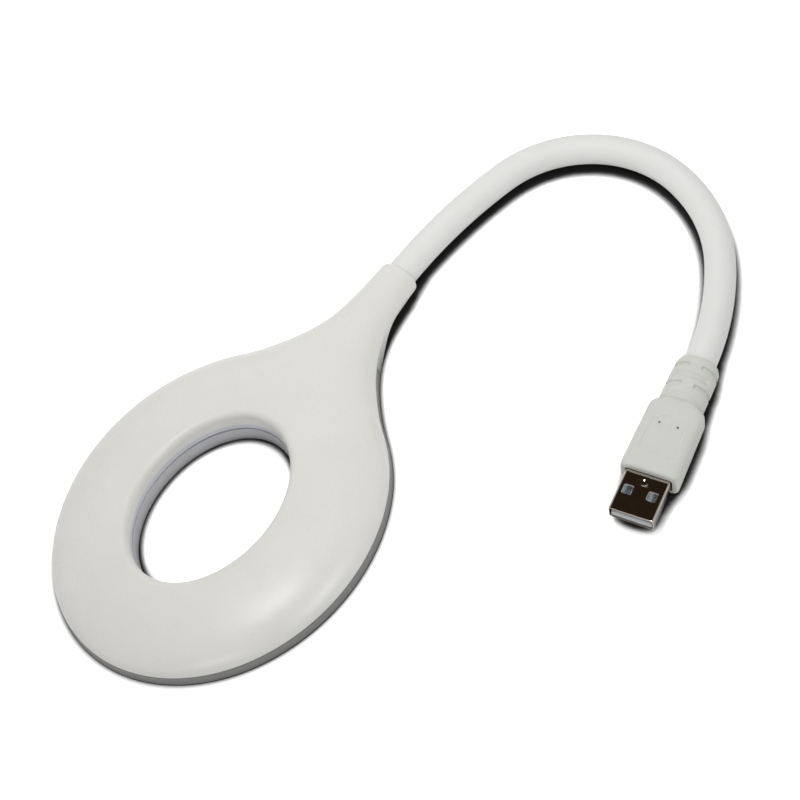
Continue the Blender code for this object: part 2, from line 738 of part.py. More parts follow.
def make_overmould(root):
    overmould = piece("plug_overmold", root, "overmould_white",
                      [superellipse(half_w, half_h, exponent, y)
                       for y, half_w, half_h, exponent in OVERMOULD_SECTIONS])

    def cut(name, *lofts):
        boolean(overmould, piece(name, root, None, *lofts))

    cut("cut_shell_pocket", [rounded_rect(SHELL_W + 2 * GAP, SHELL_H + 2 * GAP, 0.9, y)
                             for y in (-1.0, SHELL_IN + GAP)])
    cut("cut_joint_room", [rounded_rect(11.8, 5.2, 0.8, y) for y in (SHELL_IN, 16.4)])
    core_bore, jacket_bore = CORE_R + GAP, NECK_R + JACKET_CLEAR
    bore = ((16.0, core_bore), (JACKET_SEAT, core_bore),
            (JACKET_SEAT, jacket_bore), (BOOT_END + 1, jacket_bore))
    cut("cut_neck_bore", [ring_along_y(0, y, radius, 32) for y, radius in bore])
    cut("cut_relief_slots", *[arc_block(BOOT_W, BOOT_R, 0.86, 1.25, y, 0.5, angle0, angle1)
                              for y, angle0, angle1 in RELIEF_SLOTS])
    panel = ((-4.9, 5.2), (4.9, 5.2), (4.2, 16.3), (-4.2, 16.3))
    cut("cut_grip_panel", prism(panel, AXIS_Z + 4.1, AXIS_Z + 5))
    cut("cut_grip_dimples", *[disc(x, 14.3, AXIS_Z + 3.6, AXIS_Z + 5, 0.45, 12)
                              for x in (-2.45, 2.45)])


def make_premould(root):
    """The block round the wire joints, with a channel for each wire."""
    premould = piece("plug_premould", root, "premould_white",
                     [rounded_rect(width, height, 0.6, y)
                      for y, width, height in PREMOULD_SECTIONS])
    channels = [[ring_along_y(x, y, WIRE_R + GAP, 16) for y in (5, 18)]
                for x in (-PLUG_WIRE_X, PLUG_WIRE_X)]
    boolean(premould, piece("cut_wire_channels", root, None, *channels))


def make_shell(root):
    """The metal tube, with four windows and a round hole in its top."""
    inner_w, inner_h = SHELL_W - 2 * SHELL_T, SHELL_H - 2 * SHELL_T
    inner_corner = SHELL_CORNER - SHELL_T
    rings = [
        rounded_rect(SHELL_W - 0.2, SHELL_H - 0.2, SHELL_CORNER - 0.1, -SHELL_OUT),
        rounded_rect(SHELL_W, SHELL_H, SHELL_CORNER, -SHELL_OUT + 0.15),
        rounded_rect(SHELL_W, SHELL_H, SHELL_CORNER, SHELL_IN),
        rounded_rect(inner_w, inner_h, inner_corner, SHELL_IN),
        rounded_rect(inner_w, inner_h, inner_corner, -SHELL_OUT),
    ]
    shell = piece("plug_shell", root, "shell_nickel", rings, closed=True)
    openings = []
    for x in (-WINDOW_X, WINDOW_X):
        outline = rectangle(x - WINDOW_W / 2, WINDOW_Y - WINDOW_L / 2,
                            x + WINDOW_W / 2, WINDOW_Y + WINDOW_L / 2)
        openings.append(prism(outline, AXIS_Z + 1.5, AXIS_Z + 3))
        openings.append(prism(outline, AXIS_Z - 3, AXIS_Z - 1.5))
    openings.append(disc(0, -2.6, AXIS_Z + 2.12, AXIS_Z + 3, 1.15, 20))
    boolean(shell, piece("cut_shell_windows", root, None, *openings))


def make_insulator(root):
    insulator = piece("plug_insulator", root, "insulator_grey",
                      extrude_x(INSULATOR_PROFILE, -5.4, 5.4))
    grooves = [prism(rectangle(x - 0.8, -11.0, x + 0.8, 6.0), AXIS_Z - 0.55, AXIS_Z + 0.35)
               for x in CONTACT_X]
    boolean(insulator, piece("cut_contact_grooves", root, None, *grooves))


def make_contacts(root):
    upper = tuple((y, z + CONTACT_T) for y, z in reversed(CONTACT_UNDERSIDE))
    for i, x in enumerate(CONTACT_X):
        piece(f"plug_contact_{i + 1}", root, "contact_gold",
              extrude_x(CONTACT_UNDERSIDE + upper, x - CONTACT_W / 2, x + CONTACT_W / 2))


def make_plug_wires(root):
    for colour, x in (("red", PLUG_WIRE_X), ("black", -PLUG_WIRE_X)):
        path = [(x, y, AXIS_Z) for y in (6.25, 10.0, 16.1)]
        wire(f"plug_wire_{colour}", root, f"wire_{colour}", path)


# ---------------------------------------------------------------- assembly
def centre_on_ground(root):
    """Moves the lamp so that the origin is the centre of its footprint, on the ground."""
    bpy.context.view_layer.update()
    depsgraph = bpy.context.evaluated_depsgraph_get()
    low, high = Vector((1e9,) * 3), Vector((-1e9,) * 3)
    for ob in bpy.context.scene.objects:
        if ob.type == "MESH" and not ob.hide_render:
            evaluated = ob.evaluated_get(depsgraph)
            for vert in evaluated.to_mesh().vertices:
                point = ob.matrix_world @ vert.co
                low = Vector(map(min, low, point))
                high = Vector(map(max, high, point))
            evaluated.to_mesh_clear()
    root.location -= Vector(((low.x + high.x) / 2, (low.y + high.y) / 2, low.z))
    bpy.context.view_layer.update()


clear_scene()
for material_name, (colour, roughness, metallic) in MATERIALS.items():
    make_material(material_name, colour, roughness, metallic)

# each pivot hangs on the one before it; the head belongs to the last
bodies = [make_body("plug_root", (0, 0, AXIS_Z))]
for k, s in enumerate(PIVOT_S):
    bodies.append(make_body(f"pivot_{k + 1:02d}", neck_at(s)[0], bodies[-1]))

for make in (make_cover, make_diffuser, make_board, make_leds, make_resistors, make_ferrule,
             make_head_wires):
    make(bodies[-1])
make_neck(bodies)
for make in (make_overmould, make_premould, make_shell, make_insulator, make_contacts,
             make_plug_wires):
    make(bodies[0])

centre_on_ground(bodies[0])
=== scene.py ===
"""A plug-in lamp: a flat metal plug with a moulded grip, a jointed neck and an oval head with a hole.

It lies flat on the floor. The design origin is the plug's shoulder, on the plug's axis: the plug's
mouth faces -Y, the neck leaves along +Y, then turns anticlockwise (seen from above) and brings the
head back beside the plug, on its -X side. The head has its own frame: origin at the hole's centre,
+x towards the neck, z as in the row. Lengths are millimetres until an object is made; lights and
shaders work in metres.
"""
import json
import math

import bmesh
import bpy
import numpy as np
from mathutils import Matrix, Vector


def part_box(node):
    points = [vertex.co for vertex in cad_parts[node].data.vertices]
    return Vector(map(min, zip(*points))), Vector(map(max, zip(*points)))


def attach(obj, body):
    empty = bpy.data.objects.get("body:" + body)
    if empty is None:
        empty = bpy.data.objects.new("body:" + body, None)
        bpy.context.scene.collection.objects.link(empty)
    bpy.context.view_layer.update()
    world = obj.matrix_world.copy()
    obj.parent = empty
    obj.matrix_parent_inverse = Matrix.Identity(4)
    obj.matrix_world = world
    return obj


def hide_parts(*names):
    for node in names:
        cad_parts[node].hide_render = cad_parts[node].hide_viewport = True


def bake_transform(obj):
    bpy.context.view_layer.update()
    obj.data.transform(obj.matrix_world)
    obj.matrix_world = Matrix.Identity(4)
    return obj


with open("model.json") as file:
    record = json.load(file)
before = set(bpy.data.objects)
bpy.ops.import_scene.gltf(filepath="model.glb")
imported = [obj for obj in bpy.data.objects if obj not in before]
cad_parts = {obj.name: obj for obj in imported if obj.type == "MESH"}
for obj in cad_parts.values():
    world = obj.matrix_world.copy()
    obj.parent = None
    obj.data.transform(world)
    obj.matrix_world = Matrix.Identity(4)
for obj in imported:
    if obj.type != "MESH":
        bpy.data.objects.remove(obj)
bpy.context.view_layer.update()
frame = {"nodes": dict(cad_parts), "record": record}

MM = 0.001

# ---------------------------------------------------------------- dimensions, mm
SHELL_W, SHELL_H, SHELL_WALL = 12.0, 4.5, 0.3
SHELL_OUT, SHELL_IN = 12.0, 6.0             # reach out of the shoulder and into the grip
WINDOW_W, WINDOW_L, WINDOW_X, WINDOW_Y = 2.3, 2.4, 3.25, -5.6
BOOT_END = 35.8                             # where the grip ends on the neck
NECK_R, NECK_BORE, CORE_R, NECK_START = 4.2, 2.6, 2.3, 36.5
NECK_ARCS = ((84.9, 22.22), (46.0, 39.72), (33.9, 91.84), (154.8, 15.81))    # radius, turn in degrees
PIVOTS, PIVOT_IN, PIVOT_OUT = 12, 3.0, 3.2  # joints; first from the neck's start, last from its end
SLEEVE_START, SLEEVE_END_X = -2.4, 66.0     # along the neck; in the head's frame

RING_A, RING_B, RING_X, RING_Y = 49.35, 41.95, 0.99, -1.25    # oval rim: semi-axes and centre
HOLE_A, HOLE_B = 25.45, 18.55               # semi-axes of the hole
HEAD_LEN, CROWN, LIP, INNER_LIP = 84.3, 11.7, 3.0, 4.75
FLARE_X = 41.0                              # the oval runs into the collar here
COLLAR = (                                  # x, half width, slope
    (49.0, 17.0, -0.824),
    (58.0, 10.95, -0.517),
    (67.0, 7.6, -0.245),
    (76.0, 6.24, -0.08),
    (HEAD_LEN, 5.7, -0.05),
)
ROUND_FROM, ROUND_TO = 58.0, 74.0           # the section turns from flat-bottomed to round
FILLET = 2.0                                # round the hole's top edge
SPLIT_X = 44.0                              # rays round the hole give way to cross-sections
COVER_T, TRAY_END = 1.8, 57.0
PART_GAP = 0.10                             # cover and diffuser each stay this far off the joint
SKIRT = 0.50                                # the outer wall leans out this far towards the table
EDGE_ROUND, EDGE_STEPS = 0.30, 6            # bottom edge of the outer wall

shell_lo, shell_hi = (corner * 1000 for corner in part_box("plug_shell"))
AXIS_Z = (shell_lo.z + shell_hi.z) / 2
ORIGIN_X = (shell_lo.x + shell_hi.x) / 2
ORIGIN_Y = shell_lo.y + SHELL_OUT


# ---------------------------------------------------------------- curves and places
def plug_point(x, y, z):
    return (ORIGIN_X + x, ORIGIN_Y + y, z)


def smoothstep(t):
    t = min(1.0, max(0.0, t))
    return t * t * (3 - 2 * t)


def bell(value, centre, half, soft):
    """1 within half of the centre, falling to 0 over soft."""
    return smoothstep((half + soft - abs(value - centre)) / soft)


def hermite(x, x0, w0, d0, x1, w1, d1):
    """Cubic from value w0 and slope d0 at x0 to w1 and d1 at x1."""
    h = x1 - x0
    t = (x - x0) / h
    return ((1 - 3 * t * t + 2 * t ** 3) * w0 + t * (1 - t) ** 2 * h * d0
            + (3 * t * t - 2 * t ** 3) * w1 + t * t * (t - 1) * h * d1)


def furthest(inside, lo, hi, steps):
    """Bisects for the largest radius that is still inside."""
    for _ in range(steps):
        mid = (lo + hi) / 2
        lo, hi = (mid, hi) if inside(mid) else (lo, mid)
    return lo


def circle(radius, count):
    turns = [2 * math.pi * i / count for i in range(count)]
    return [(radius * math.cos(a), radius * math.sin(a)) for a in turns]


def rounded_rect(width, height, radius, steps, grow=0.0):
    """Outline with steps segments to a corner, offset outwards by grow."""
    points = []
    for side_x, side_y, start in ((1, 1, 0), (-1, 1, 90), (-1, -1, 180), (1, -1, 270)):
        for k in range(steps + 1):
            a = math.radians(start + 90 * k / steps)
            points.append((side_x * (width / 2 - radius) + (radius + grow) * math.cos(a),
                           side_y * (height / 2 - radius) + (radius + grow) * math.sin(a)))
    return points


def rounded_rect_distance(x, y, half_w, half_h, radius):
    """Signed distance to a rounded rectangle's outline, negative inside."""
    dx, dy = abs(x) - (half_w - radius), abs(y) - (half_h - radius)
    return math.hypot(max(dx, 0), max(dy, 0)) + min(max(dx, dy), 0.0) - radius


NECK_LEN = sum(radius * math.radians(turn) for radius, turn in NECK_ARCS)


def neck_at(s):
    """Point and heading of the centreline at length s, straight on beyond either end."""
    x, y, heading = 0.0, NECK_START, math.pi / 2
    if s <= 0:
        return Vector(plug_point(x, y + s, AXIS_Z)), heading
    left = s
    for radius, turn in NECK_ARCS:
        length = min(left, radius * math.radians(turn))
        a = length / radius
        x += radius * (math.sin(heading + a) - math.sin(heading))
        y += -radius * (math.cos(heading + a) - math.cos(heading))
        heading += a
        left -= length
        if left <= 1e-9:
            return Vector(plug_point(x, y, AXIS_Z)), heading
    end = plug_point(x + left * math.cos(heading), y + left * math.sin(heading), AXIS_Z)
    return Vector(end), heading


END_POINT, END_HEADING = neck_at(NECK_LEN)
HEAD_DIR = Vector((math.cos(END_HEADING), math.sin(END_HEADING), 0))
HOLE_CENTRE = END_POINT + HEAD_DIR * HEAD_LEN


def head_point(x, y, z):
    ux, uy = -HEAD_DIR.x, -HEAD_DIR.y
    return (HOLE_CENTRE.x + x * ux - y * uy, HOLE_CENTRE.y + x * uy + y * ux, z)


# ---------------------------------------------------------------- mesh helpers
def shade(mesh, sharp):
    mesh.shade_smooth()
    mesh.set_sharp_from_angle(angle=math.radians(sharp))


def to_object(name, bm, material=None, sharp=35.0, smooth=True):
    """A bmesh in millimetres becomes an object in metres, faces out."""
    bmesh.ops.remove_doubles(bm, verts=bm.verts, dist=1e-5)
    bmesh.ops.recalc_face_normals(bm, faces=bm.faces)
    for vert in bm.verts:
        vert.co *= MM
    mesh = bpy.data.meshes.new(name)
    bm.to_mesh(mesh)
    bm.free()
    ob = bpy.data.objects.new(name, mesh)
    bpy.context.scene.collection.objects.link(ob)
    if material is not None:
        mesh.materials.append(material)
    if smooth:
        shade(mesh, sharp)
    return ob


def cut(ob, *cutters, op="DIFFERENCE", sharp=35.0):
    """Boolean with each cutter, applied, and the cutters removed."""
    for cutter in cutters:
        mod = ob.modifiers.new(cutter.name, "BOOLEAN")
        mod.operation, mod.object, mod.solver = op, cutter, "EXACT"
    bpy.context.view_layer.update()
    evaluated = ob.evaluated_get(bpy.context.evaluated_depsgraph_get())
    mesh = bpy.data.meshes.new_from_object(evaluated)
    ob.modifiers.clear()
    old, ob.data = ob.data, mesh
    bpy.data.meshes.remove(old)
    for cutter in cutters:
        bpy.data.objects.remove(cutter, do_unlink=True)
    shade(mesh, sharp)


def bevel(ob, width, angle):
    """Edge radius, in metres, on edges sharper than angle."""
    mod = ob.modifiers.new("edge", "BEVEL")
    mod.width, mod.segments = width, 2
    mod.limit_method, mod.angle_limit = "ANGLE", math.radians(angle)


def bridge(bm, first, second, wrap=True):
    """Quads between two rows of vertices."""
    count = len(first)
    for i in range(count if wrap else count - 1):
        j = (i + 1) % count
        bm.faces.new((first[i], first[j], second[j], second[i]))


def loft(name, rings, material=None, closed=False, **finish):
    """Skin over rings of points; closed joins the last ring to the first, otherwise both are capped."""
    bm = bmesh.new()
    rows = [[bm.verts.new(point) for point in ring] for ring in rings]
    for first, second in zip(rows, rows[1:]):
        bridge(bm, first, second)
    if closed:
        bridge(bm, rows[-1], rows[0])
    else:
        bm.faces.new(rows[0])
        bm.faces.new(list(reversed(rows[-1])))
    return to_object(name, bm, material, **finish)


def replace(piece, body, slot, *nodes):
    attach(piece, body)
    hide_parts(*nodes)


# ---------------------------------------------------------------- shader helpers
class Graph:
    """Node tree of a material or world, and the node that everything ends in."""

    def __init__(self, owner, main="Principled BSDF"):
        owner.use_nodes = True
        self.tree = owner.node_tree
        self.main = self.tree.nodes[main]

    def feed(self, node, inputs):
        """Links each input that is given a socket and sets the others."""
        for key, value in inputs.items():
            if isinstance(value, bpy.types.NodeSocket):
                self.tree.links.new(value, node.inputs[key])
            else:
                node.inputs[key].default_value = value

    def set(self, inputs):
        self.feed(self.main, inputs)

    def node(self, kind, output, inputs=None, **settings):
        """Adds a node and returns the named output."""
        node = self.tree.nodes.new("ShaderNode" + kind)
        for key, value in settings.items():
            setattr(node, key, value)
        self.feed(node, inputs or {})
        return node.outputs[output]

    def coords(self, output="Object"):
        return self.node("TexCoord", output)

    def axis(self, vector, letter):
        return self.node("SeparateXYZ", letter, {"Vector": vector})

    def noise(self, coords, scale, detail=4.0, rough=0.55):
        return self.node("TexNoise", "Fac", {"Scale": scale, "Detail": detail, "Roughness": rough,
                                             "Vector": coords})

    def ramp(self, factor, *stops):
        """Two stops, each a position and a colour."""
        socket = self.node("ValToRGB", "Color", {"Fac": factor})
        for element, (position, colour) in zip(socket.node.color_ramp.elements, stops):
            element.position = position
            element.color = (*colour, 1.0)
        return socket

    def remap(self, value, start, end, low=0.0, high=1.0, **settings):
        """low at start, high at end."""
        return self.node("MapRange", "Result", {"From Min": start, "From Max": end, "To Min": low,
                                                "To Max": high, "Value": value}, **settings)

    def fade(self, value, start, end):
        """1 at start, 0 at end."""
        return self.remap(value, start, end, low=1.0, high=0.0)

    def bump(self, height, strength, distance, **under):
        return self.node("Bump", "Normal", {"Strength": strength, "Distance": distance,
                                            "Height": height, **under})

    def product(self, first, *others):
        for other in others:
            first = self.node("Math", "Value", {0: first, 1: other}, operation="MULTIPLY")
        return first

    def hole_distance(self, place):
        """Metres from the foot of the head's hole."""
        centre = (HOLE_CENTRE.x * MM, HOLE_CENTRE.y * MM, 0.0)
        return self.node("VectorMath", "Value", {0: place, 1: centre}, operation="DISTANCE")

    def mix(self, factor, plain, other, blend="MIX"):
        return self.node("Mix", "Result", {"Factor": factor, "A": plain, "B": other},
                         data_type="RGBA", blend_type=blend)

    def tint(self, factor, colour, blend="MIX"):
        """Puts a colour over whatever feeds the base colour."""
        plain = self.main.inputs["Base Color"].links[0].from_socket
        self.set({"Base Color": self.mix(factor, plain, (*colour, 1), blend)})


# ---------------------------------------------------------------- materials
def moulded(name, light, dark, rough, grain_scale, grain, wave_scale=60.0, wave=0.02,
            sss=0.0, sss_scale=0.001, specular=0.5):
    """Plastic or rubber: fine grain that also varies the roughness, soft waves, faint clouding."""
    material = bpy.data.materials.new(name)
    graph = Graph(material)
    coords = graph.coords()
    cloud = graph.noise(coords, wave_scale * 1.7, detail=3.0)
    fine = graph.noise(coords, grain_scale, detail=3.0, rough=0.6)
    waves = graph.bump(graph.noise(coords, wave_scale, detail=2.0), wave, distance=0.002)
    graph.set({
        "Base Color": graph.ramp(cloud, (0.32, dark), (0.68, light)),
        "Roughness": graph.remap(fine, 0.3, 0.7, low=rough - 0.06, high=rough + 0.06),
        "Normal": graph.bump(fine, grain, distance=0.0001, Normal=waves),
        "Specular IOR Level": specular,
        "Subsurface Weight": sss,
        "Subsurface Scale": sss_scale,
        "Subsurface Radius": (1.0, 0.9, 0.8),
        "Coat Roughness": 0.25,
    })
    return material


def metal(name, colour, tarnish, rough, stretch, scratch, amount=0.10, relief=0.02):
    """Plated or drawn metal: directional polish marks and faint tarnish in patches."""
    material = bpy.data.materials.new(name)
    graph = Graph(material)
    coords = graph.coords()
    stretched = graph.node("Mapping", "Vector", {"Scale": stretch, "Vector": coords})
    streak = graph.noise(stretched, scratch, rough=0.65)
    patch = graph.noise(coords, scale=220.0)
    graph.set({
        "Base Color": graph.ramp(patch, (0.35, tarnish), (0.62, colour)),
        "Roughness": graph.remap(streak, 0.3, 0.7, low=rough * (1 - amount * 4),
                                 high=rough * (1 + amount * 4)),
        "Normal": graph.bump(streak, relief, distance=0.00005),
        "Metallic": 1.0,
    })
    return material


MAT = {
    "cover_white": moulded(
        "cover_satin_white", light=(0.640, 0.634, 0.605), dark=(0.622, 0.616, 0.584), rough=0.31,
        grain_scale=2600.0, grain=0.16, wave_scale=45.0, sss=0.05, sss_scale=0.0008, specular=0.45),
    # painted shade: the diffuser's milky white is greyed down for the shade on its walls
    "diffuser_milk": moulded(
        "diffuser_milky", light=(0.420, 0.418, 0.432), dark=(0.400, 0.398, 0.412), rough=0.34,
        grain_scale=1800.0, grain=0.06, wave=0.015, sss=0.25, sss_scale=0.0015),
    "jacket_white": moulded(
        "neck_silicone_white", light=(0.655, 0.660, 0.640), dark=(0.640, 0.645, 0.623), rough=0.52,
        grain_scale=3400.0, grain=0.10, wave_scale=70.0, wave=0.03, sss=0.08, sss_scale=0.0008,
        specular=0.4),
    "overmould_white": moulded(
        "overmould_soft_white", light=(0.540, 0.549, 0.512), dark=(0.524, 0.533, 0.494), rough=0.56,
        grain_scale=3000.0, grain=0.18, wave_scale=90.0, wave=0.03, sss=0.05, sss_scale=0.0006,
        specular=0.4),
    "premould_white": moulded(
        "premould_hard_white", light=(0.74, 0.74, 0.70), dark=(0.71, 0.71, 0.67), rough=0.45,
        grain_scale=1500.0, grain=0.12),
    "board_white": moulded(
        "board_solder_mask", light=(0.80, 0.82, 0.79), dark=(0.77, 0.79, 0.76), rough=0.35,
        grain_scale=2200.0, grain=0.10, wave_scale=300.0, wave=0.03),
    "led_yellow": moulded(
        "led_phosphor", light=(0.93, 0.80, 0.34), dark=(0.88, 0.72, 0.26), rough=0.38,
        grain_scale=3500.0, grain=0.10, sss=0.1),
    "resistor_black": moulded(
        "resistor_ceramic", light=(0.030, 0.030, 0.032), dark=(0.020, 0.020, 0.022), rough=0.45,
        grain_scale=3500.0, grain=0.25),
    "wire_red": moulded(
        "wire_insulation_red", light=(0.56, 0.030, 0.020), dark=(0.48, 0.022, 0.016), rough=0.38,
        grain_scale=2600.0, grain=0.10),
    "wire_black": moulded(
        "wire_insulation_black", light=(0.020, 0.020, 0.022), dark=(0.013, 0.013, 0.014), rough=0.38,
        grain_scale=2600.0, grain=0.10),
    "insulator_grey": moulded(
        "insulator_glass_filled", light=(0.455, 0.465, 0.470), dark=(0.415, 0.425, 0.430),
        rough=0.42, grain_scale=2400.0, grain=0.14, specular=0.45),
    "shell_nickel": metal(
        "shell_bright_nickel", colour=(0.66, 0.62, 0.56), tarnish=(0.63, 0.59, 0.53), rough=0.10,
        stretch=(1.0, 0.12, 1.0), scratch=2600.0, amount=0.05, relief=0.004),
    "contact_gold": metal(
        "contact_plate", colour=(0.42, 0.45, 0.46), tarnish=(0.36, 0.39, 0.40), rough=0.42,
        stretch=(1.0, 0.1, 1.0), scratch=3000.0),
    "core_steel": metal(
        "core_wound_steel", colour=(0.46, 0.45, 0.43), tarnish=(0.38, 0.37, 0.35), rough=0.34,
        stretch=(1.0, 1.0, 1.0), scratch=1600.0, amount=0.12, relief=0.15),
    "ferrule_brass": metal(
        "ferrule_drawn_brass", colour=(0.76, 0.58, 0.28), tarnish=(0.66, 0.48, 0.22), rough=0.28,
        stretch=(1.0, 1.0, 0.2), scratch=1400.0, amount=0.12, relief=0.08),
}


def paint_shade_on_shell_sides():
    """Painted shade: the shell's two narrow sides are darkened against its polished top."""
    graph = Graph(MAT["shell_nickel"])
    normal_x = graph.axis(graph.coords("Normal"), "X")
    sideways = graph.node("Math", "Value", {0: normal_x}, operation="ABSOLUTE")
    graph.tint(graph.remap(sideways, start=0.80, end=0.95), (0.34, 0.33, 0.31), "MULTIPLY")


def paint_light_under_windows():
    """Painted light: the plastic under the windows is made paler and bluer than at the plug's mouth."""
    graph = Graph(MAT["insulator_grey"])
    y = graph.axis(graph.coords(), "Y")
    start, end = (ORIGIN_Y - 10.5) * MM, (ORIGIN_Y - 9.0) * MM
    graph.tint(graph.remap(y, start, end), (0.80, 0.93, 1.0))


def shade_cover():
    graph = Graph(MAT["cover_white"])
    height = graph.axis(graph.coords(), "Z")
    facing = graph.axis(graph.node("NewGeometry", "Normal"), "Z")
    apart = graph.hole_distance(graph.coords())
    # painted shade: the wall inside the hole goes darker and cooler towards its lower edge
    graph.tint(graph.product(graph.fade(height, start=0.0063, end=0.0069),
                             graph.fade(facing, start=0.10, end=0.30),
                             graph.fade(apart, start=0.031, end=0.036)),
               (0.50, 0.512, 0.56))
    # painted shade: where the head narrows, the dark grey of the shaded rim wall runs on along the low
    # wall and fades before the collar
    graph.tint(graph.product(graph.fade(height, start=0.0050, end=0.0056),
                             graph.fade(facing, start=0.05, end=0.20),
                             graph.remap(apart, start=0.038, end=0.042),
                             graph.fade(apart, start=0.060, end=0.070)),
               (0.20, 0.198, 0.192))


def shade_diffuser():
    graph = Graph(MAT["diffuser_milk"])
    # painted shade: the outer wall is made darker and warmer than the wall inside the hole
    apart = graph.hole_distance(graph.coords())
    graph.tint(graph.remap(apart, start=0.030, end=0.038), (0.437, 0.434, 0.412), "MULTIPLY")
    # the underside, where the light comes out, keeps the milky white all over; the grey on the walls is
    # painted shade
    facing = graph.axis(graph.coords("Normal"), "Z")
    graph.tint(graph.fade(facing, start=-0.90, end=-0.70), (0.66, 0.67, 0.68))


paint_shade_on_shell_sides()
paint_light_under_windows()
shade_cover()
shade_diffuser()


# ---------------------------------------------------------------- neck
PITCH = (NECK_LEN - PIVOT_IN - PIVOT_OUT) / (PIVOTS - 1)


def neck_ring(s, radius):
    point, heading = neck_at(s)
    side = Vector((-math.sin(heading), math.cos(heading), 0))
    up = Vector((0, 0, 1))
    return [tuple(point + side * across + up * rise) for across, rise in circle(radius, 56)]


def neck_sleeve(k):
    """Spans joint k from mid-link to mid-link."""
    first, last = k == 1, k == PIVOTS
    pivot = PIVOT_IN + PITCH * (k - 1)
    start = SLEEVE_START if first else pivot - PITCH / 2
    end = NECK_LEN + HEAD_LEN - SLEEVE_END_X if last else pivot + PITCH / 2
    steps = max(24, int((end - start) / 0.6))
    stations = [start + (end - start) * i / steps for i in range(steps + 1)]
    bore = stations[::3] if steps % 3 == 0 else stations
    rings = [neck_ring(s, NECK_R) for s in stations]
    rings += [neck_ring(s, NECK_BORE) for s in reversed(bore)]
    sleeve = loft(f"neck_sleeve_{k:02d}", rings, MAT["jacket_white"], closed=True, sharp=40)
    bend_start = 0.75 if first else start + 1.0
    bend_end = NECK_LEN - 0.45 if last else end - 1.0
    neck_at(bend_start)[0] * MM
    neck_at(bend_end)[0] * MM
    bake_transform(sleeve)
    jackets = (0, 1) if first else (k,)
    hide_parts(*(f"neck_jacket_{number:02d}" for number in jackets))


for k in range(1, PIVOTS + 1):
    neck_sleeve(k)


# ---------------------------------------------------------------- head surface
def half_width(x, inset=0.0):
    a, b = RING_A - inset, RING_B - inset
    if x <= FLARE_X:
        u = (x - RING_X) / a
        return b * math.sqrt(max(0.0, 1 - u * u))
    u = (FLARE_X - RING_X) / a
    root = math.sqrt(1 - u * u)
    x0, w0, d0 = FLARE_X, b * root, -b / a * u / root
    for x1, w1, d1 in COLLAR:
        w1 -= inset
        if x <= x1:
            return hermite(x, x0, w0, d0, x1, w1, d1)
        x0, w0, d0 = x1, w1, d1
    return w0


def roundness(x):
    """0 where the section is flat-bottomed, 1 where it is round."""
    return smoothstep((x - ROUND_FROM) / (ROUND_TO - ROUND_FROM))


def crown_z(x):
    return CROWN + (2 * AXIS_Z - CROWN) * smoothstep((x - 15.0) / 60.0)


def lip_z(x):
    return LIP + (AXIS_Z - LIP) * roundness(x)


def base_z(x, floor):
    return floor + (AXIS_Z - floor) * roundness(x)


def top_z(x, y, inset):
    if x <= RING_X:
        out = math.hypot((x - RING_X) / (RING_A - inset), y / (RING_B - inset))
    else:
        out = abs(y) / half_width(x, inset)
    out = min(1.0, out)
    power = 2.3 - 0.3 * roundness(x)
    lip = lip_z(x)
    return lip + (crown_z(x) - inset - lip) * math.sqrt(max(0.0, 1 - out ** power))


def hole_radius(a, grow):
    return 1 / math.hypot(math.cos(a) / (HOLE_A + grow), math.sin(a) / (HOLE_B + grow))


def rim_shift(x, y):
    """The rim sits slightly to one side; the hole and the collar stay on the head's axis."""
    out = smoothstep((math.hypot(x / HOLE_A, y / HOLE_B) - 1.1) / 0.8)
    return RING_Y * out * (1 - smoothstep((x - 28.0) / 31.0))


def outline_radius(a, inset):
    def inside(r):
        x, y = r * math.cos(a), r * math.sin(a)
        return RING_X - RING_A + inset < x and abs(y) < half_width(x, inset)
    return furthest(inside, 5.0, 120.0, 50)


def wall_edge(x, y, inward, floor):
    """Points below the lip at x, y: a leaning wall with a rounded foot, plain if floor isn't 0."""
    base, lip = base_z(x, floor), lip_z(x)
    if floor != 0.0:
        return [(x, y, base + (lip - base) * 0.5), (x, y, base)]
    flat = 1 - roundness(x)
    points = []
    for k in range(EDGE_STEPS + 1):
        f = math.pi / 2 * k / EDGE_STEPS
        z = base + (lip - base) * 0.13 * (1 - math.sin(f))
        shift = EDGE_ROUND * flat * (1 - math.cos(f)) - SKIRT * flat
        points.append((x + inward[0] * shift, y + inward[1] * shift, z))
    return points


def section_rows(x, inset, floor, across):
    """Top and bottom rows of the cross-section at x, from -y to +y."""
    w, turn = half_width(x, inset), roundness(x)
    foot = w - (EDGE_ROUND - SKIRT if floor == 0.0 else 0.0) * (1 - turn)
    top, bottom = [], []
    for k in range(across + 1):
        f = math.sin(math.pi * (k / across - 0.5))
        if k in (0, across):
            z, low = lip_z(x), base_z(x, floor)
        else:
            z = top_z(x, f * w, inset)
            low = floor + turn * (AXIS_Z - floor) * (1 - math.sqrt(max(0.0, 1 - f * f)))
        top.append((x, f * w, z))
        bottom.append((x, f * foot, low))
    return top, bottom


def section_ring(x, scale, inset, floor, across):
    w = half_width(x, inset)
    top, bottom = section_rows(x, inset, floor, across)
    plus = wall_edge(x, w, (0, -1), floor)[:-1]
    minus = wall_edge(x, -w, (0, 1), floor)[:-1]
    return [(px, py * scale, AXIS_Z + (pz - AXIS_Z) * scale)
            for px, py, pz in top + plus + bottom[::-1] + minus[::-1]]


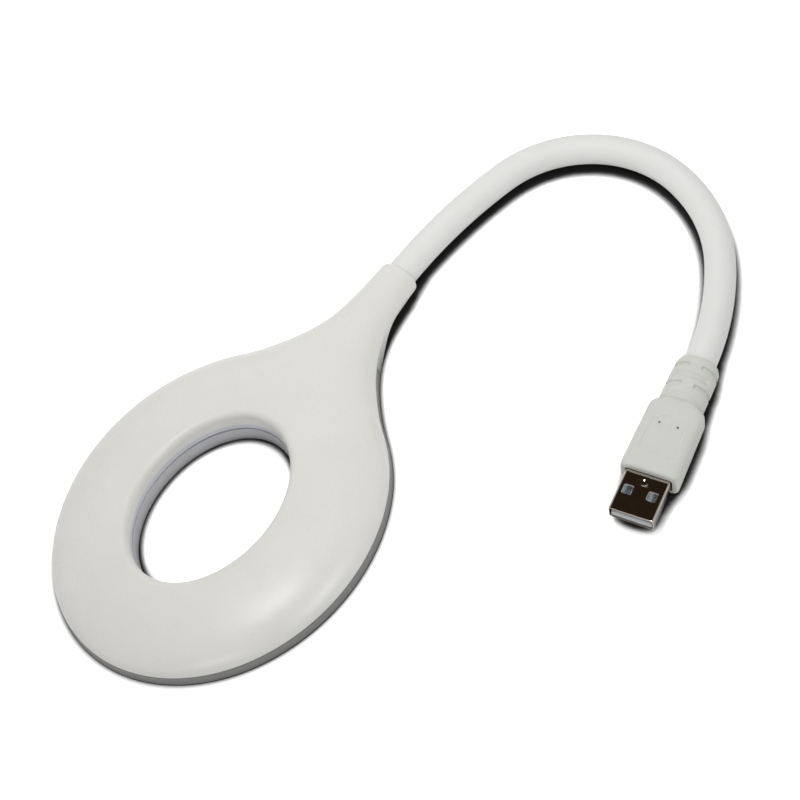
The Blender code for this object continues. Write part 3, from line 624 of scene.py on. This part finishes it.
def envelope(name, material=None, inset=0.0, hole_grow=0.0, x_stop=None, floor=0.0, fillet=FILLET,
             across=40, around=150, rows=24, fillet_steps=8):
    """The head as one closed form: rays round the hole, then cross-sections along the neck side."""
    bm = bmesh.new()
    split_w = half_width(SPLIT_X, inset)
    front = [math.atan2(split_w * math.sin(math.pi * (k / across - 0.5)), SPLIT_X)
             for k in range(across + 1)]
    spread = [math.sin(math.pi / 2 * (1 - (1 - k / rows) ** 1.7)) for k in range(rows + 1)]

    def ray_top(a, end):
        """Up the hole's wall, over its fillet and out to the radius end."""
        c, s = math.cos(a), math.sin(a)
        wall = hole_radius(a, hole_grow)
        inner = wall + fillet
        z0 = top_z(inner * c, inner * s, inset)
        points = [(wall * c, wall * s, floor), (wall * c, wall * s, z0 - fillet)]
        for k in range(1, fillet_steps):
            f = math.pi / 2 * k / fillet_steps
            r = wall + fillet * (1 - math.cos(f))
            points.append((r * c, r * s, z0 - fillet + fillet * math.sin(f)))
        for k in range(rows + 1):
            r = inner + (end - wall - fillet) * spread[k]
            x, y = r * c, r * s
            on_rim = k == rows and (abs(y) > split_w - 1e-3 or x < SPLIT_X - 1e-3)
            points.append((x, y, lip_z(x) if on_rim else top_z(x, y, inset)))
        return points

    def side_ray(k):
        """Ray k of those that reach the rim; the first and last end at the split's corners."""
        a = front[-1] + (2 * math.pi - 2 * front[-1]) * k / around
        c, s = math.cos(a), math.sin(a)
        if k in (0, around):
            sign = math.copysign(1, s)
            corner = wall_edge(SPLIT_X, sign * split_w, (0, -sign), floor)
            return ray_top(a, math.hypot(SPLIT_X, split_w)) + corner
        r = outline_radius(a, inset)
        return ray_top(a, r) + wall_edge(r * c, r * s, (-c, -s), floor)

    def add_row(points):
        return [bm.verts.new(head_point(x, y + rim_shift(x, y), z)) for x, y, z in points]

    rays = [add_row(side_ray(k)) for k in range(around + 1)]
    for first, second in zip(rays, rays[1:]):
        bridge(bm, first, second)

    fronts = [add_row(ray_top(a, SPLIT_X / math.cos(a))) for a in front]
    bottoms = add_row(section_rows(SPLIT_X, inset, floor, across)[1])
    for k in range(across):
        first, second = fronts[k], fronts[k + 1]
        bridge(bm, first, second, wrap=False)
        bm.faces.new((second[0], bottoms[k + 1], bottoms[k], first[0]))

    stop = x_stop or HEAD_LEN
    stations = [(x, 1.0) for x in np.arange(SPLIT_X, stop - 1.0, 1.0)]
    if x_stop is None:                      # rounded end towards the neck
        for k in range(7):
            f = math.pi / 2 * k / 6
            stations.append((stop - 0.9 + 0.9 * math.sin(f), 1 - 0.16 * (1 - math.cos(f))))
    else:
        stations.append((x_stop, 1.0))
    sections = [add_row(section_ring(x, scale, inset, floor, across)) for x, scale in stations]
    for first, second in zip(sections, sections[1:]):
        bridge(bm, first, second)
    bm.faces.new(sections[-1])
    bmesh.ops.remove_doubles(bm, verts=bm.verts, dist=1e-3)
    bmesh.ops.dissolve_degenerate(bm, edges=bm.edges, dist=1e-3)
    return to_object(name, bm, material)


# ---------------------------------------------------------------- head parts
def head_prism(name, outline, z0, z1, **finish):
    return loft(name, [[head_point(x, y, z) for x, y in outline] for z in (z0, z1)], **finish)


def tray_block(name, x_end, top):
    """Box round everything below top, up to x_end on the neck side."""
    outline = ((-70, -60), (x_end, -60), (x_end, 60), (-70, 60))
    return head_prism(name, outline, -5, top, smooth=False)


def hole_prism(name, grow, z0, z1, count=190):
    outline = []
    for i in range(count):
        a = 2 * math.pi * (i + 0.5) / count
        r = hole_radius(a, grow)
        outline.append((r * math.cos(a), r * math.sin(a)))
    return head_prism(name, outline, z0, z1)


def head_cylinder(name, x0, x1, radius):
    return loft(name, [[head_point(x, y, AXIS_Z + z) for y, z in circle(radius, 72)]
                       for x in (x0, x1)])


def build_cover():
    cover = envelope("head_cover_shell", MAT["cover_white"])
    cut(cover,
        tray_block("below_lip", TRAY_END, LIP + PART_GAP),
        hole_prism("inner_lip", 1.9, -6, INNER_LIP + PART_GAP),
        envelope("cavity", inset=COVER_T, hole_grow=1.6, x_stop=TRAY_END - 2, floor=-1.0,
                 fillet=1.0, around=90, across=20, rows=10, fillet_steps=3),
        head_cylinder("neck_bore", TRAY_END - 4, HEAD_LEN + 6, NECK_R + 0.22))
    replace(cover, "head", "cover_white", "head_top_cover")


def build_diffuser():
    keep = tray_block("tray_part", TRAY_END - 0.3, LIP - PART_GAP)
    cut(keep, hole_prism("hole_wall", 1.5, -3, INNER_LIP - PART_GAP), op="UNION")
    diffuser = envelope("head_diffuser_tray", MAT["diffuser_milk"], hole_grow=-0.35)
    cut(diffuser, keep, op="INTERSECT")
    cut(diffuser, envelope("tray_cavity", inset=1.5, hole_grow=1.3, x_stop=TRAY_END - 1.8,
                           floor=1.2, fillet=1.0, around=90, across=20, rows=8, fillet_steps=3))
    replace(diffuser, "head", "diffuser_milk", "head_diffuser")


build_cover()
build_diffuser()

# ---------------------------------------------------------------- plug grip: one displaced grid
GRIP_SECTIONS = (            # y, half width, half height, superellipse power
    (0.0, 6.95, 3.6, 5.0), (0.25, 7.5, 4.12, 5.0), (0.9, 7.8, 4.4, 5.0), (8.0, 7.65, 4.35, 5.0),
    (14.0, 7.55, 4.3, 4.8), (19.7, 7.45, 4.2, 4.5), (20.8, 7.1, 4.15, 4.0), (21.6, 6.45, 4.0, 3.2),
    (22.1, 5.75, 4.3, 2.4), (22.7, 5.95, 4.85, 2.2), (28.0, 6.05, 4.85, 2.0),
    (32.9, 6.0, 4.85, 2.0), (34.9, 5.7, 4.85, 2.0), (BOOT_END, 5.25, 4.65, 2.0),
)
GRIP_ENDS = (0.0, 0.06, 0.14, 0.25, 0.4, 0.6, 0.9, 1.4,      # single grid stations in y
             35.2, 35.35, 35.5, 35.62, 35.72, BOOT_END)
GRIP_RUNS = (                # evenly spaced stations: from, to, step
    (2.0, 17.0, 0.2), (17.0, 21.0, 0.33), (21.0, 24.0, 0.1), (24.0, 34.4, 0.085), (34.4, 35.2, 0.2),
)
GRIP_ANGLES = [2 * math.pi * (i + 0.5) / 288 for i in range(288)]
SIDE_SLOTS, SLOT_DEPTH = (32.9, 27.0), 0.55                  # y of each row
TROUGHS = ((30.0, 1.15, 0.50), (23.7, 0.7, 0.26))            # y, softness, depth
PANEL_Y0, PANEL_Y1, PANEL_R = 5.2, 16.3, 1.4
PANEL_HALF0, PANEL_HALF1 = 4.9, 4.2                          # half widths at its two ends
PIN_HOLE_X, PIN_HOLE_Y = 2.45, 14.3
PIN_HOLE = ((0.24, 3.3), (0.27, 3.9), (0.36, 4.18), (0.75, 4.60))    # radius, height over the axis
SEAT_Y, CORE_Y, POCKET_Y = 33.8, 16.4, 6.3                   # steps of the bore
BORE_CIRCLES = (             # radius, y
    (NECK_R + 0.42, BOOT_END), (NECK_R + 0.22, BOOT_END - 0.25), (NECK_R + 0.22, SEAT_Y),
    (CORE_R + 0.3, SEAT_Y), (CORE_R + 0.3, CORE_Y),
)
BORE_RECTS = (               # width, height, corner radius, y
    (11.8, 5.2, 0.8, CORE_Y), (11.8, 5.2, 0.8, POCKET_Y),
    (12.6, 5.1, 0.9, POCKET_Y), (12.6, 5.1, 0.9, 0.0),
)


def monotone(xs, values, x):
    """Monotone cubic through the values at xs."""
    n = len(xs)
    d = [(values[i + 1] - values[i]) / (xs[i + 1] - xs[i]) for i in range(n - 1)]
    inner = [0.0 if p * q <= 0 else 2 * p * q / (p + q) for p, q in zip(d, d[1:])]
    slopes = [d[0], *inner, d[-1]]
    i = max(k for k in range(n - 1) if xs[k] <= x + 1e-12)
    return hermite(x, xs[i], values[i], slopes[i], xs[i + 1], values[i + 1], slopes[i + 1])


def relief_depth(y, degrees):
    """Slots in the two sides; troughs over the top and bottom, offset from them along y."""
    from_plus_x = min(degrees, 360 - degrees)
    side = max(bell(from_plus_x, 0, 60, 9), bell(from_plus_x, 180, 68, 9))
    flat = max(bell(degrees, 90, 52, 14), bell(degrees, 270, 52, 14))
    slots = [bell(y, at, 0.30, 0.42) * side * SLOT_DEPTH for at in SIDE_SLOTS]
    troughs = [bell(y, at, 0.10, soft) * flat * depth for at, soft, depth in TROUGHS]
    return max(slots + troughs)


def panel_depth(x, y):
    """Shallow tapered field with rounded corners, its rim a little deeper."""
    length = PANEL_Y1 - PANEL_Y0
    half = PANEL_HALF0 + (PANEL_HALF1 - PANEL_HALF0) * (y - PANEL_Y0) / length
    middle = (PANEL_Y0 + PANEL_Y1) / 2
    distance = rounded_rect_distance(x, y - middle, half, length / 2, PANEL_R)
    return 0.14 * smoothstep(-distance / 0.30 + 0.5) + 0.07 * math.exp(-(distance / 0.20) ** 2)


def grip_ring(y):
    ys, *columns = zip(*GRIP_SECTIONS)
    w, h, power = (monotone(ys, column, y) for column in columns)
    ring = []
    for a in GRIP_ANGLES:
        c, s = math.cos(a), math.sin(a)
        r = ((abs(c) / w) ** power + (abs(s) / h) ** power) ** (-1 / power)
        scale = 1 - relief_depth(y, math.degrees(a)) / r
        x, z = r * c * scale, r * s * scale
        if z > 3.0 and 3.5 < y < 18.5:
            z -= panel_depth(x, y)
        ring.append(plug_point(x, y, AXIS_Z + z))
    return ring


def bore_ring(y, radius_at):
    """Ring sampled at the same angles as the outside."""
    ring = []
    for a in GRIP_ANGLES:
        c, s = math.cos(a), math.sin(a)
        r = radius_at(c, s)
        ring.append(plug_point(r * c, y, AXIS_Z + r * s))
    return ring


def bore_rect(width, height, radius, y):
    def radius_at(c, s):
        def inside(r):
            return rounded_rect_distance(r * c, r * s, width / 2, height / 2, radius) < 0
        return furthest(inside, 0.0, 30.0, 40)
    return bore_ring(y, radius_at)


def pin_hole(x):
    return loft(f"pin{x}", [[plug_point(x + px, PIN_HOLE_Y + py, AXIS_Z + z)
                             for px, py in circle(radius, 24)] for radius, z in PIN_HOLE])


def build_grip():
    stations = list(GRIP_ENDS)
    for run in GRIP_RUNS:
        stations.extend(np.arange(*run))
    rings = [grip_ring(y) for y in sorted({round(y, 4) for y in stations})]
    rings += [bore_ring(y, lambda c, s: radius) for radius, y in BORE_CIRCLES]
    rings += [bore_rect(*rect) for rect in BORE_RECTS]
    grip = loft("plug_grip_moulding", rings, MAT["overmould_white"], closed=True, sharp=50)
    cut(grip, pin_hole(-PIN_HOLE_X), pin_hole(PIN_HOLE_X), sharp=50)
    replace(grip, "plug", "overmould_white", "plug_overmold")


build_grip()

# ---------------------------------------------------------------- plug shell
SHELL_TOP, SHELL_BOTTOM = AXIS_Z + SHELL_H / 2, AXIS_Z - SHELL_H / 2
DENT_R, DENT_DEPTH, DENT_Y = 0.95, 0.13, -2.6
SHELL_PROFILE = (            # taken off width and height, corner radius, y: mouth, outside, inside
    (2 * SHELL_WALL - 0.16, 0.55, -SHELL_OUT),
    (0.30, 0.66, -SHELL_OUT),
    (0.11, 0.72, -SHELL_OUT + 0.055),
    (0.0, 0.75, -SHELL_OUT + 0.18),
    (0.0, 0.75, -SHELL_OUT + 0.24),
    *((0.0, 0.75, -SHELL_OUT + 0.5 + i) for i in range(18)),
    (0.0, 0.75, SHELL_IN),
    (2 * SHELL_WALL, 0.45, SHELL_IN),
    (2 * SHELL_WALL, 0.45, -SHELL_OUT + 0.12),
)


def rounded_box(name, centre, size, radius, z0, z1, steps=6, grow=0.0):
    """Upright box with rounded corners, its top larger all round by grow."""
    return loft(name, [[plug_point(centre[0] + x, centre[1] + y, z)
                        for x, y in rounded_rect(*size, radius, steps, offset)]
                       for z, offset in ((z0, 0.0), (z1, grow))], smooth=False)


def window(x, z0, z1, grow=0.0):
    return rounded_box("window", (x, WINDOW_Y), (WINDOW_W, WINDOW_L), 0.28, z0, z1, grow=grow)


def dent():
    """Ball that sinks a dent of the given radius and depth into the top."""
    ball_r = (DENT_R ** 2 + DENT_DEPTH ** 2) / (2 * DENT_DEPTH)
    bm = bmesh.new()
    bmesh.ops.create_uvsphere(bm, u_segments=96, v_segments=48, radius=ball_r)
    centre = plug_point(0, DENT_Y, SHELL_TOP + ball_r - DENT_DEPTH)
    bmesh.ops.translate(bm, verts=bm.verts, vec=centre)
    return to_object("dent", bm)


def build_shell():
    rings = [[plug_point(x, y, AXIS_Z + z)
              for x, z in rounded_rect(SHELL_W - less, SHELL_H - less, radius, steps=8)]
             for less, radius, y in SHELL_PROFILE]
    shell = loft("plug_shell_drawn", rings, MAT["shell_nickel"], closed=True, sharp=30)
    sides = (-WINDOW_X, WINDOW_X)
    spans = ((AXIS_Z + 1.5, AXIS_Z + 3), (AXIS_Z - 3, AXIS_Z - 1.5))
    cutters = [window(x, *span) for x in sides for span in spans]
    # sloping edges round the top windows
    cutters += [window(x, SHELL_TOP - 0.18, SHELL_TOP + 0.22, grow=0.40) for x in sides]
    cutters.append(dent())
    # narrow groove along the underside
    cutters.append(rounded_box("fold", (0, -5.0), (0.12, 15.0), 0.05, AXIS_Z - 3,
                               SHELL_BOTTOM + 0.16, steps=3))
    cut(shell, *cutters, sharp=28)
    bevel(shell, width=0.00004, angle=50)
    replace(shell, "plug", "shell_nickel", "plug_shell")


build_shell()

# ---------------------------------------------------------------- parts kept from the CAD
BEVELLED = ("plug_insulator", "plug_contact", "plug_premould", "led_", "resistor")


def finish_cad_part(ob, name, slot):
    ob.data.materials.clear()
    ob.data.materials.append(MAT[slot])
    weld = ob.modifiers.new("weld", "WELD")
    weld.merge_threshold = 1e-6
    if name.startswith(BEVELLED):
        fine = "contact" in name or "resistor" in name
        bevel(ob, width=0.00005 if fine else 0.0001, angle=40)


for part in frame["record"]["subparts"]:
    node = frame["nodes"][part["node"]]
    if not node.hide_render:
        finish_cad_part(node, part["node"], part["material_slot"])


# ---------------------------------------------------------------- floor
def floor_material():
    """A bright table top with a painted contact shadow: its colour goes dark where the lamp all but
    touches it.
    """
    material = bpy.data.materials.new("floor_pale")
    graph = Graph(material)
    apart = graph.hole_distance(graph.node("NewGeometry", "Position"))
    # painted contact shadow: ambient occlusion darkens the floor's colour, over a shorter reach near
    # the head
    reach = graph.remap(apart, start=0.062, end=0.080, low=0.0048, high=0.0064)
    near = graph.node("AmbientOcclusion", "AO", {"Distance": reach}, samples=24)
    open_air = graph.remap(near, start=0.53, end=0.77, interpolation_type="SMOOTHSTEP")
    # a glow seen only by the camera lifts the open floor towards white
    camera_ray = graph.node("LightPath", "Is Camera Ray")
    graph.set({
        "Base Color": graph.ramp(open_air, (0.0, (0.02,) * 3), (1.0, (0.96,) * 3)),
        "Emission Strength": graph.product(camera_ray, open_air, 0.45),
        "Emission Color": (1, 1, 1, 1),
        "Roughness": 0.9,
        "Specular IOR Level": 0.0,
    })
    return material


def build_floor():
    bm = bmesh.new()
    bmesh.ops.create_grid(bm, x_segments=1, y_segments=1, size=6000)
    bmesh.ops.translate(bm, verts=bm.verts, vec=(0, 0, -0.05))
    to_object("floor", bm, floor_material(), smooth=False)


build_floor()


# ---------------------------------------------------------------- world, camera and lights
def build_world():
    """Even white light; glossy rays see a white surround under a dark brown ceiling."""
    world = bpy.data.worlds.new("studio")
    bpy.context.scene.world = world
    graph = Graph(world, "Background")
    height = graph.axis(graph.coords("Generated"), "Z")
    ceiling = graph.ramp(height, (0.62, (0.95,) * 3), (0.74, (0.044, 0.026, 0.0122)))
    glossy = graph.node("LightPath", "Is Glossy Ray")
    graph.set({"Color": graph.mix(glossy, (1.0, 1.0, 1.0, 1), ceiling), "Strength": 0.50})


def build_camera():
    """Adds the camera and returns its up direction."""
    place = Vector(plug_point(98.049, -204.533, 409.314)) * MM
    target = Vector(plug_point(-71.856, 2.254, 0.0)) * MM
    roll = 0.2900254                        # radians
    forward = (target - place).normalized()
    right = forward.cross(Vector((0, 0, 1))).normalized()
    up = right.cross(forward)
    rolled_right = right * math.cos(roll) - up * math.sin(roll)
    rolled_up = right * math.sin(roll) + up * math.cos(roll)
    data = bpy.data.cameras.new("camera")
    data.lens, data.sensor_width = 82.289, 36.0
    data.clip_start, data.clip_end = 0.01, 50.0
    camera = bpy.data.objects.new("camera", data)
    bpy.context.scene.collection.objects.link(camera)
    matrix = Matrix((rolled_right, rolled_up, -forward)).transposed().to_4x4()
    matrix.translation = place
    camera.matrix_world = matrix
    bpy.context.scene.camera = camera
    return rolled_up


build_world()
camera_up = build_camera()
# the camera's up and right, laid on the floor
flat_up = Vector((camera_up.x, camera_up.y, 0)).normalized()
flat_right = Vector((flat_up.y, -flat_up.x, 0))


def sky(azimuth, elevation):
    """A place 0.9 m from the world origin; azimuth runs clockwise from flat_up, in degrees."""
    a, e = math.radians(azimuth), math.radians(elevation)
    return (flat_up * (math.cos(a) * math.cos(e)) + flat_right * (math.sin(a) * math.cos(e))
            + Vector((0, 0, math.sin(e)))) * 0.9


def disk_light(name, place, size, power, aim=(0, 0, 0), glossy=True, diffuse=True):
    light = bpy.data.lights.new(name, "AREA")
    light.shape, light.size, light.energy = "DISK", size, power
    ob = bpy.data.objects.new(name, light)
    bpy.context.scene.collection.objects.link(ob)
    ob.location = place
    direction = Vector(aim) - Vector(place)
    ob.rotation_euler = direction.to_track_quat("-Z", "Y").to_euler()
    ob.visible_glossy, ob.visible_diffuse = glossy, diffuse


disk_light("soft_top_left", sky(azimuth=300, elevation=42), size=0.25, power=0.955, glossy=False)
disk_light("soft_right", sky(azimuth=120, elevation=42), size=0.25, power=0.80)
disk_light("soft_front", sky(azimuth=180, elevation=42), size=0.25, power=0.80)
disk_light("close_right", place=(-0.013, 0.072, 0.32), aim=(-0.013, 0.072, 0), size=0.10,
           power=0.42, glossy=False)
disk_light("close_left", place=(-0.073, -0.018, 0.45), aim=(-0.073, -0.018, 0), size=0.12,
           power=0.22, glossy=False)
glint_at = Vector(plug_point(-72.7, -66.1, 8.4)) * MM
disk_light("glint", glint_at + Vector((0.063, 0.054, 0.997)) * 0.9, aim=glint_at, size=0.10,
           power=1.40, diffuse=False)
disk_light("streak", sky(azimuth=110, elevation=53), size=0.10, power=0.80, diffuse=False)

view = bpy.context.scene.view_settings
view.view_transform = "Standard"
view.look = "None"
